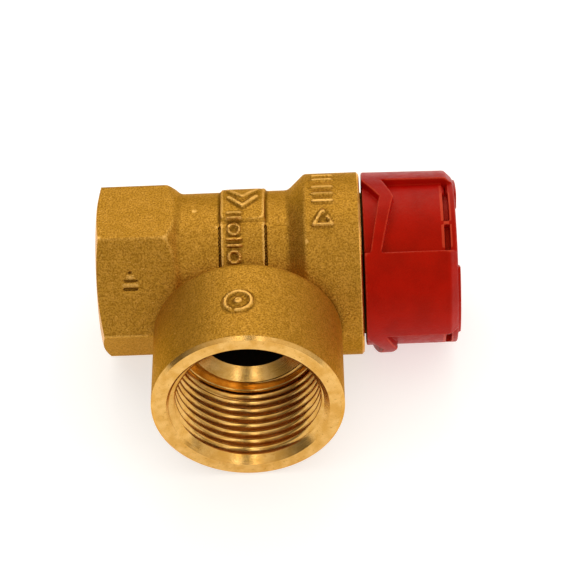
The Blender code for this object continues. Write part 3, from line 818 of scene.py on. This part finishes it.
def collar_marks(x, angle):
    """A triangle and bars on the collar."""
    u = angle * math.pi / 180 * COLLAR_R
    low, high = COLLAR_MARKS_X - COLLAR_MARKS_HALF, COLLAR_MARKS_X + COLLAR_MARKS_HALF
    base, tip = COLLAR_TRIANGLE
    points = ((base, low), (base, high), (tip, COLLAR_MARKS_X))
    sides = [stroke(u, x, points[k], points[k - 1], 0.36) for k in range(3)]
    bars = [stroke(u, x, (place, low), (place, high), 0.38) for place in COLLAR_BARS]
    return union(sides + bars)


def boss_mark(x, y):
    """A plain ring with a dot in it, on top of the boss."""
    u, v = x - BOSS_MARK_X, y + BOSS_MARK_OUT
    return np.minimum(hoop(u, v, BOSS_RING_R, 0.4), np.hypot(u, v) - BOSS_DOT_R)


def hexagon_stamp(x, y, z):
    """Two strokes and a dot, struck into the upper front side of the hexagon."""
    length = math.hypot(HEX_HALF_HEIGHT, HEX_CORNER - HEX_HALF_FLAT)
    along = (z * HEX_HALF_HEIGHT + (y + HEX_CORNER) * (HEX_CORNER - HEX_HALF_FLAT)) / length
    low, high = STAMP_X - STAMP_BAR_HALF, STAMP_X + STAMP_BAR_HALF
    bars = [stroke(x, along, (low, place), (high, place), 0.25) for place in STAMP_BARS]
    return union(bars + [np.hypot(x - STAMP_X, along - STAMP_DOT) - STAMP_DOT_R])


def body_field(x, y, z):
    """The casting, with stock left on the faces that are machined."""
    radius = np.hypot(y, z)
    angle = angle_round(y, z)
    neck = smooth_min(neck_field(x, radius), pad_field(x, radius, angle), 0.25)
    marks = np.minimum(pad_marks(x, angle), collar_marks(x, angle))
    neck = raised(neck, marks, RELIEF)
    inlet = inlet_field(x, y, z, radius)
    stamp = np.maximum(hexagon_stamp(x, y, z), np.maximum(-inlet - STAMP_DEPTH, y))
    inlet = smooth_max(inlet, -stamp, 0.1)
    boss = boss_field(x, y, z)
    boss = raised(boss, np.maximum(boss_mark(x, y), -z), RELIEF)
    body = smooth_min(smooth_min(neck, inlet, 0.5), boss, BOSS_FILLET)
    return smooth_max(body, -pad_grooves(x, radius, angle), 0.1)


def machine_outlet(body, bright, dark):
    """Faces the boss, then cuts the hole, the bore with its shoulder, and the thread."""
    end = OUTLET_LENGTH
    root = end - OUTLET_THREAD_LENGTH
    edge = BOSS_R - BOSS_CHAMFER
    far = BOSS_R + 2 * CLEAR
    back = end - far + edge
    face = [(0, end), (edge, end), (far, back), (far, end + CLEAR), (0, end + CLEAR)]
    cut(body, revolved("face_tool", face, bright, outlet_point))
    mouth = OUTLET_MOUTH_R - OUTLET_CREST_R
    step = OUTLET_CREST_R + GROOVE_STEP
    lip = [(OUTLET_CREST_R - inner, root - deeper) for inner, deeper in GROOVE_LIP]
    bore = [(0, end + PAST), (OUTLET_MOUTH_R + PAST, end + PAST), (OUTLET_CREST_R, end - mouth),
            (OUTLET_CREST_R, root + GROOVE_LENGTH), (step, root + 0.9 * GROOVE_LENGTH),
            (step, root), *lip, (OUTLET_HOLE_R, root - OUTLET_SHOULDER),
            (0, root - OUTLET_SHOULDER)]
    hole = [(0, root), (OUTLET_HOLE_R, root), (OUTLET_HOLE_R, OUTLET_HOLE_END),
            (0, OUTLET_HOLE_END)]
    # the hole's walls take the near-black material: painted shade inside the outlet
    cut(body, revolved("hole_tool", hole, dark, outlet_point))
    cut(body, revolved("bore_tool", bore, bright, outlet_point))

    def inwards(radius, turn, x):
        return outlet_point(radius, turn, end - x)

    cut(body, thread_tap("tap", OUTLET_CREST_R, OUTLET_ROOT_R, -PITCH,
                         OUTLET_THREAD_LENGTH - OUTLET_RUNOUT, inwards, bright))


def machine_main_bore(body, bright, dark):
    """Cuts the chamber round the seat, the collar's bore, the inlet and its thread."""
    face = -INLET_LENGTH
    thread_end = face + INLET_THREAD_LENGTH
    mouth = INLET_MOUTH_R - INLET_CREST_R
    chamber = [(0, CLAMP_X), (CHAMBER_R, CLAMP_X), (CHAMBER_R, SEAT_X - SEAT_DEPTH),
               (SEAT_LIP_R, SEAT_X - SEAT_DEPTH), (SEAT_LIP_R - SEAT_BEVEL, SEAT_X),
               (0, SEAT_X)]
    # the chamber's walls take the near-black material: painted shade inside the body
    cut(body, revolved("chamber_tool", chamber, dark))
    wide = COLLAR_BORE_R + BORE_BEVEL
    collar = [(0, COLLAR_END + PAST), (wide, COLLAR_END + PAST), (wide, COLLAR_END),
              (COLLAR_BORE_R, COLLAR_END - BORE_BEVEL), (COLLAR_BORE_R, CLAMP_X), (0, CLAMP_X)]
    cut(body, revolved("collar_bore_tool", collar, bright))
    inlet = [(0, SEAT_X), (SEAT_R + SEAT_BEVEL, SEAT_X), (SEAT_R, SEAT_X - BORE_BEVEL),
             (SEAT_R, thread_end + PASSAGE_CONE), (INLET_CREST_R, thread_end),
             (INLET_CREST_R, face + mouth), (INLET_MOUTH_R + PAST, face - PAST),
             (0, face - PAST)]
    cut(body, revolved("inlet_tool", inlet, bright))

    def inwards(radius, turn, x):
        return main_point(radius, turn, face + x)

    cut(body, thread_tap("inlet_tap", INLET_CREST_R, INLET_ROOT_R, -PITCH,
                         INLET_THREAD_LENGTH - INLET_RUNOUT, inwards, bright))


def machine_ends(body, bright):
    """Faces the inlet and the collar, and turns the chamfers round them."""
    face = -INLET_LENGTH
    far = HEX_CORNER + CLEAR
    back = face + (far - HEX_FACE_R) * HEX_CHAMFER_SLOPE
    inlet = [(0, face - CLEAR), (far, face - CLEAR), (far, back), (HEX_FACE_R, face), (0, face)]
    cut(body, revolved("inlet_face_tool", inlet, bright))
    end = COLLAR_END
    far = COLLAR_R + CLEAR
    edge = COLLAR_R - COLLAR_CHAMFER
    back = end - far + edge
    collar = [(0, end + CLEAR), (far, end + CLEAR), (far, back), (edge, end), (0, end)]
    cut(body, revolved("collar_face_tool", collar, bright))


def mark_wear_and_shade(obj, field, reach, gain):
    """Stores where the skin bulges, which gets rubbed, and where it is hollow, which gets painted shade."""
    mesh = obj.data
    places = np.empty(len(mesh.vertices) * 3)
    mesh.vertices.foreach_get("co", places)
    points = (places.reshape(-1, 3) - np.array(CROSSING)) / MM
    middle = field(*points.T)
    bulge = -6.0 * middle
    for axis in range(3):
        for side in (-reach, reach):
            shift = np.zeros(3)
            shift[axis] = side
            bulge += field(*(points + shift).T)
    for x, y, z, size in NICKS:
        bulge += np.clip(1.5 - np.linalg.norm(points - np.array((x, y, z)), axis=1) / size, 0, 1)
    on_skin = np.abs(middle) < SKIN
    # wear lightens the rubbed bulges; the hollows get painted shade
    for name, sign in (("wear", 1), ("hollow_shade", -1)):
        layer = mesh.attributes.new(name, 'FLOAT', 'POINT')
        amount = np.clip(sign * bulge * gain, 0.0, 1.0) * on_skin
        layer.data.foreach_set("value", amount.astype(np.float32))


def make_valve_body(cast, outlet_brass, main_brass, dark):
    low = (-INLET_LENGTH - STOCK, -OUTLET_LENGTH - STOCK, -BOSS_R)
    high = (COLLAR_END + STOCK, HEX_CORNER, BOSS_R)
    body = mesh_object("valve_body_cast", *surface_net(body_field, low, high, CELL), cast)
    machine_outlet(body, outlet_brass, dark)
    machine_main_bore(body, main_brass, dark)
    machine_ends(body, main_brass)
    clean(body)
    mark_wear_and_shade(body, body_field, *BODY_WEAR_AND_SHADE)
    smooth(body)
    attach(body, "housing")
    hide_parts("valve_body")


# --- Cap ---

def cap_outline(x, radius):
    side = tapered(radius, x, CAP_START, CAP_R, CAP_EDGE, CAP_EDGE_R)
    chamfer = tapered(radius, x, CAP_EDGE, CAP_EDGE_R, CAP_SHELF, CAP_END_R)
    ends = np.maximum(x - CAP_SHELF, CAP_START - x)
    return smooth_max(smooth_max(side, chamfer, 0.25), ends, 0.35)


def pocket_field(x, radius, angle):
    """A finger pocket, with a peaked rib left standing across it and a groove at its end."""
    middle = POCKET_FROM + POCKET_TURN / 2
    away = folded(angle, middle)
    arc = away * math.pi / 180 * radius
    half = POCKET_TURN / 2 * math.pi / 180 * radius
    near, far = (np.interp(away + middle, RIB_ANGLES, edge) for edge in (RIB_NEAR, RIB_FAR))
    rib = RIB_LEAN * smooth_max(x - far, near - x, 0.3)
    pocket = smooth_max(np.abs(arc) - half, -rib, 0.3)
    groove = np.maximum(POCKET_GROOVE[0] - x, x - POCKET_GROOVE[1])
    bridge = np.abs(arc - (BRIDGE - middle) * math.pi / 180 * radius) - BRIDGE_HALF
    groove = np.maximum(groove, -bridge)
    floor = POCKET_R - POCKET_GROOVE_DEPTH * (groove < 0)
    return smooth_max(pocket, floor - radius, 0.25)


def sector_field(x, radius, angle):
    """The three raised sectors on the cap's end."""
    arc = np.abs(folded(angle, SECTOR_MIDDLE)) - SECTOR_TURN / 2
    edges = smooth_max(arc * math.pi / 180 * radius, SECTOR_INNER_R - radius, 0.5)
    edges = smooth_max(edges, radius - CAP_END_R + SECTOR_INSET, 0.5)
    return smooth_max(np.maximum(edges, CAP_EDGE - x), x - CAP_END, 0.2)


def cap_field(x, y, z):
    radius = np.hypot(y, z)
    angle = angle_round(y, z)
    shell = smooth_max(cap_outline(x, radius), -pocket_field(x, radius, angle), 0.25)
    return smooth_min(shell, sector_field(x, radius, angle), 0.15)


def make_cap(red):
    low = (CAP_START, -CAP_R, -CAP_R)
    high = (CAP_END, CAP_R, CAP_R)
    cap = mesh_object("cap_moulding", *surface_net(cap_field, low, high, CAP_CELL), red)
    web = CAP_FLOOR + CAP_WEB
    bore = [(0, CAP_START - PAST), (CAP_BORE_R, CAP_START - PAST), (CAP_BORE_R, CAP_FLOOR),
            (CAP_HOLE_R, CAP_FLOOR), (CAP_HOLE_R, web), (CAP_WELL_R, web),
            (CAP_WELL_R, CAP_END + PAST), (0, CAP_END + PAST)]
    cut(cap, revolved("cap_tool", bore, red))
    clean(cap)
    mark_wear_and_shade(cap, cap_field, *CAP_WEAR)
    smooth(cap)
    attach(cap, "cap")
    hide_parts("cap")


# --- Inner pieces ---

def finer(name, node, body, profile, material):
    """Stands a finely turned piece in the place of a CAD node."""
    settle(revolved(name, eased(profile, EASE), material, steps=FINE_STEPS), node, body)


def settle(piece, node, body):
    """Finishes a piece's mesh, and lets it stand for a CAD node."""
    clean(piece)
    smooth(piece)
    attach(piece, body)
    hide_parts(node)


def washer(name, node, body, hole, material):
    low, high = corners(node)
    profile = [(hole, low.x), (high.z, low.x), (high.z, high.x), (hole, high.x)]
    finer(name, node, body, profile, material)


def box_tool(low, high):
    verts = [(x, y, z) for x in (low[0], high[0]) for y in (low[1], high[1])
             for z in (low[2], high[2])]
    faces = [(0, 1, 3, 2), (4, 6, 7, 5), (0, 4, 5, 1), (2, 3, 7, 6), (0, 2, 6, 4), (1, 5, 7, 3)]
    return mesh_object("slot_tool", verts, faces)


def make_screw(name, node, body, shank_r, head_thick, head_first, material):
    """A slotted screw whose head is at its low or its high end."""
    low, high = corners(node)
    head, end = (low.x, high.x) if head_first else (high.x, low.x)
    way = 1 if head_first else -1
    under = head + way * head_thick
    profile = [(0, head), (high.z, head), (high.z, under), (shank_r, under), (shank_r, end),
               (0, end)]
    screw = revolved(name, eased(profile, EASE), material, steps=FINE_STEPS)
    reach = high.z + PAST
    ends = sorted((head - way * PAST, head + way * SLOT_DEPTH))
    cut(screw, box_tool((ends[0], -reach, -SLOT_WIDTH / 2), (ends[1], reach, SLOT_WIDTH / 2)))
    settle(screw, node, body)


def make_holder(material):
    """The cup that holds the seal, with its stem and the flange under the diaphragm."""
    low, high = corners("disc_holder")
    seal_r = corners("seal_disc")[1].z + GAP
    seat = corners("seal_disc")[1].x + GAP
    screw_end = corners("disc_screw")[1].x + GAP
    spindle_end = corners("spindle")[0].x - GAP
    back = seat + HOLDER_THICK
    flange = high.x - FLANGE_THICK
    profile = [(0, spindle_end), (HOLE_R, spindle_end), (HOLE_R, high.x), (FLANGE_R, high.x),
               (FLANGE_R, flange), (STEM_R, flange), (STEM_R, back), (high.z, back),
               (high.z, low.x), (seal_r, low.x), (seal_r, seat), (SCREW_HOLE_R, seat),
               (SCREW_HOLE_R, screw_end), (0, screw_end)]
    finer("disc_holder_turned", "disc_holder", "spindle", profile, material)


def make_spring_plate(name, node, body, seat_first, material):
    """A pressed plate with a spigot that centres the spring."""
    low, high = corners(node)
    if seat_first:
        ends = (high.x, high.x - PLATE_THICK, low.x)
    else:
        ends = (low.x, low.x + PLATE_THICK, high.x)
    outer, seat, tip = ends
    profile = [(HOLE_R, outer), (high.z, outer), (high.z, seat), (SPIGOT_R, seat),
               (SPIGOT_R, tip), (HOLE_R, tip)]
    finer(name, node, body, profile, material)


def make_spindle(material):
    low, high = corners("spindle")
    hole_end = corners("cap_screw")[0].x - GAP
    profile = [(0, low.x), (high.z, low.x), (high.z, high.x), (SPINDLE_BORE_R, high.x),
               (SPINDLE_BORE_R, hole_end), (0, hole_end)]
    finer("spindle_rod", "spindle", "spindle", profile, material)


def make_adjusting_nut(material):
    low, high = corners("adjusting_nut")
    profile = [(NUT_HOLE_R, low.x), (high.z, low.x), (high.z, high.x), (NUT_HOLE_R, high.x)]
    nut = revolved("adjusting_nut_turned", eased(profile, EASE), material, steps=FINE_STEPS)
    socket = [(0, high.x - SOCKET_DEPTH), (SOCKET_R, high.x - SOCKET_DEPTH),
              (SOCKET_R, high.x + PAST), (0, high.x + PAST)]
    cut(nut, revolved("socket_tool", socket, material, steps=6))
    settle(nut, "adjusting_nut", "housing")


def make_lock_nut(material):
    low, high = corners("lock_nut")
    corner = high.y
    bar = [(0, low.x), (corner, low.x), (corner, high.x), (0, high.x)]
    nut = revolved("lock_nut_hexagon", bar, material, steps=6)
    inner, outer = corner - NUT_CHAMFER, corner + NUT_CHAMFER_PAST
    round_off = [(0, low.x - PAST), (inner, low.x - PAST), (inner, low.x),
                 (outer, low.x + NUT_CHAMFER_LENGTH), (outer, high.x - NUT_CHAMFER_LENGTH),
                 (inner, high.x), (inner, high.x + PAST), (0, high.x + PAST)]
    cut(nut, revolved("round_tool", round_off, material, steps=FINE_STEPS), 'INTERSECT')
    hole = [(0, low.x - PAST), (HOLE_R, low.x - PAST), (HOLE_R, high.x + PAST),
            (0, high.x + PAST)]
    cut(nut, revolved("hole_tool", hole, material, steps=FINE_STEPS))
    settle(nut, "lock_nut", "spindle")


def make_cover(red):
    """The disc over the cap's screw, slightly dished inside its rim."""
    low, high = corners("cover_disc")
    edge = high.z - COVER_RIM
    profile = [(0, low.x), (high.z, low.x), (high.z, high.x), (edge, high.x),
               (edge - COVER_DISH, high.x - COVER_DISH), (0, high.x - COVER_DISH)]
    finer("cover_disc_moulding", "cover_disc", "cap", profile, red)


def make_diaphragm(material):
    """A dished rubber disc, clamped round its rim, whose middle lifts."""
    low, high = corners("diaphragm")
    rise = high.x - low.x - RUBBER_THICK
    bend = [(DISH_R + (CLAMP_R - DISH_R) * k / BEND_STEPS,
             low.x + rise * (0.5 - 0.5 * math.cos(math.pi * k / BEND_STEPS)))
            for k in range(BEND_STEPS + 1)]
    under = [(HOLE_R, low.x), *bend, (high.z, high.x - RUBBER_THICK)]
    over = [(high.z, high.x)] + [(r - GAP, x + RUBBER_THICK) for r, x in reversed(bend)]
    over.append((HOLE_R, low.x + RUBBER_THICK))
    piece = revolved("diaphragm_moulding", under + over, material, steps=FINE_STEPS)
    settle(piece, "diaphragm", "housing")
    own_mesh(piece)


def spring_height(turns, span):
    """How far the wire has climbed after some turns: close at the ends, open between."""
    closed = SPRING_END_TURNS * SPRING_END_PITCH
    pitch = (span - 2 * closed) / (SPRING_TURNS - 2 * SPRING_END_TURNS)
    if turns <= SPRING_END_TURNS:
        return turns * SPRING_END_PITCH
    if turns <= SPRING_TURNS - SPRING_END_TURNS:
        return closed + (turns - SPRING_END_TURNS) * pitch
    return span - (SPRING_TURNS - turns) * SPRING_END_PITCH


def make_spring(material):
    low, high = corners("spring")
    middle_r = high.z - WIRE_R
    rows = round(SPRING_TURNS * SPRING_STEPS)
    verts = []
    for j in range(rows + 1):
        turns = j / SPRING_STEPS
        x = low.x + WIRE_R + spring_height(turns, high.x - low.x - 2 * WIRE_R)
        for i in range(WIRE_STEPS):
            round_wire = 2 * math.pi * i / WIRE_STEPS
            verts.append(main_point(middle_r + WIRE_R * math.cos(round_wire),
                                    2 * math.pi * turns, x + WIRE_R * math.sin(round_wire)))
    faces = [range(WIRE_STEPS), range(rows * WIRE_STEPS, (rows + 1) * WIRE_STEPS)]
    for j in range(rows):
        for i in range(WIRE_STEPS):
            k = (i + 1) % WIRE_STEPS
            a = j * WIRE_STEPS
            faces.append((a + i, a + k, a + k + WIRE_STEPS, a + i + WIRE_STEPS))
    piece = mesh_object("spring_wire", verts, faces, material)
    settle(piece, "spring", "housing")
    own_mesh(piece)


def make_inner_pieces(brass, dark_brass, metal, seal, white, red):
    # the bonnet takes the darkened brass: painted shade in the gap between collar and cap
    for slot in frame["nodes"]["bonnet"].material_slots:
        slot.material = dark_brass
    make_screw("disc_screw_slotted", "disc_screw", "spindle", DISC_SCREW_SHANK_R,
               DISC_SCREW_HEAD, True, metal)
    make_screw("cap_screw_slotted", "cap_screw", "spindle", CAP_SCREW_SHANK_R,
               CAP_SCREW_HEAD, False, metal)
    washer("disc_washer_plate", "disc_washer", "spindle", SCREW_HOLE_R, metal)
    washer("seal_disc_ring", "seal_disc", "spindle", SCREW_HOLE_R, seal)
    washer("diaphragm_plate_ring", "diaphragm_plate", "spindle", HOLE_R, metal)
    washer("slip_ring_thin", "slip_ring", "housing", SLIP_HOLE_R, white)
    washer("spindle_bush_sleeve", "spindle_bush", "housing", HOLE_R, white)
    washer("cap_washer_plate", "cap_washer", "spindle", CAP_HOLE_R, metal)
    make_holder(brass)
    make_spring_plate("spring_plate_pressed", "spring_plate", "spindle", False, metal)
    make_spring_plate("upper_plate_pressed", "upper_spring_plate", "housing", True, metal)
    make_spindle(brass)
    make_adjusting_nut(brass)
    make_lock_nut(metal)
    make_cover(red)
    make_diaphragm(seal)
    make_spring(metal)


# --- Camera, floor and light ---

CAMERA_AZIMUTH = 1.359
CAMERA_ELEVATION = 42.56
CAMERA_ROLL = -3.064
CAMERA_DISTANCE = 431.1
CAMERA_LENS = 150.96
CAMERA_AIM = (-8.005, 4.673)  # where the axes cross in the view plane, right and up
FLOOR_HALF = 3000.0

# The ramps of the dome's light: where each starts and ends, and its factor at each end
BRIGHTEST = (0.25, 0.1, 0.963)  # where the dome is brightest
DOME_RAMP = (-0.1, 0.65, 0.15, 1.02)
DARK_SLOT_MIDDLE = 0.055  # a dark slot across the front of the dome
DARK_SLOT_SIDES = (0.06, 0.13, 0.1, 1.0)
DARK_SLOT_BACK = (-0.5, -0.2, 0.0, 1.0)

# The lights' places and sizes in metres, and their power in watts
SOFTBOXES = (("softbox_back", (0.0, 0.35, 0.45), (0.35, 0.25), 0.4),
             ("softbox_right", (0.60, 0.05, 0.12), (0.25, 0.25), 0.3),
             ("strip_left", (-0.095, -0.72, 0.42), (0.06, 0.90), 0.45),
             ("strip_right", (0.185, -0.72, 0.42), (0.06, 0.90), 0.40))


def make_camera():
    turn, rise, roll = (math.radians(angle) for angle in
                        (CAMERA_AZIMUTH, CAMERA_ELEVATION, CAMERA_ROLL))
    back = Vector((math.sin(turn) * math.cos(rise), -math.cos(turn) * math.cos(rise),
                   math.sin(rise)))
    right = Vector((math.cos(turn), math.sin(turn), 0))
    up = back.cross(right)
    rolled = math.cos(roll) * right + math.sin(roll) * up
    upright = math.cos(roll) * up - math.sin(roll) * right
    place = (back * CAMERA_DISTANCE - rolled * CAMERA_AIM[0] - upright * CAMERA_AIM[1]) * MM
    camera = bpy.data.objects.new("camera", bpy.data.cameras.new("camera"))
    axes = Matrix((rolled, upright, back)).transposed()
    camera.matrix_world = Matrix.Translation(CROSSING + place) @ axes.to_4x4()
    camera.data.lens = CAMERA_LENS
    camera.data.clip_start = 0.01
    bpy.context.scene.collection.objects.link(camera)
    bpy.context.scene.camera = camera


def make_floor():
    low = -CROSSING.z / MM
    sheet = [(x * FLOOR_HALF, y * FLOOR_HALF, low) for x, y in ((-1, -1), (1, -1), (1, 1), (-1, 1))]
    floor = mesh_object("floor", sheet, [(0, 1, 2, 3)], floor_white())


def softbox(name, location, size, power):
    data = bpy.data.lights.new(name, 'AREA')
    data.shape = 'RECTANGLE'
    data.size, data.size_y = size
    data.energy = power
    light = bpy.data.objects.new(name, data)
    light.location = location
    light.rotation_euler = (-Vector(location)).to_track_quat('-Z', 'Y').to_euler()
    bpy.context.scene.collection.objects.link(light)


def dark_slot(n, parts):
    """How bright the dome is across its front, with a narrow dark slot between the strips."""
    away = n.math('ABSOLUTE', n.math('SUBTRACT', parts["X"], DARK_SLOT_MIDDLE))
    beside = n.ramp(away, *DARK_SLOT_SIDES)
    return n.math('MAXIMUM', beside, n.ramp(parts["Y"], *DARK_SLOT_BACK))


def make_light():
    """A soft dome that is brightest above, with a dark slot in front, and four softboxes."""
    n = Nodes(bpy.data.worlds.new("studio"), "Background")
    direction = n.coordinates("Generated")
    facing = n.add('ShaderNodeVectorMath', operation='DOT_PRODUCT')
    n.put(facing.inputs[0], direction)
    facing.inputs[1].default_value = BRIGHTEST
    shade = n.ramp(facing.outputs["Value"], *DOME_RAMP)
    slot = dark_slot(n, n.parts(direction))
    n.put(n.shader.inputs["Strength"], n.math('MULTIPLY', shade, slot))
    n.put(n.shader.inputs["Color"], (1.0, 0.95, 0.86, 1))
    bpy.context.scene.world = n.owner
    for light in SOFTBOXES:
        softbox(*light)


make_camera()
make_floor()
make_light()
bpy.context.scene.view_settings.view_transform = 'Standard'
MAIN_BRASS = turned_brass("main_brass", 0, (1, 2))
RED = red_plastic()
make_valve_body(cast_brass(), turned_brass("outlet_brass", 1, (0, 2)), MAIN_BRASS,
                shade_black_casting())
make_cap(RED)
make_inner_pieces(MAIN_BRASS, bonnet_shade_brass(), steel(), rubber(), white_plastic(), RED)
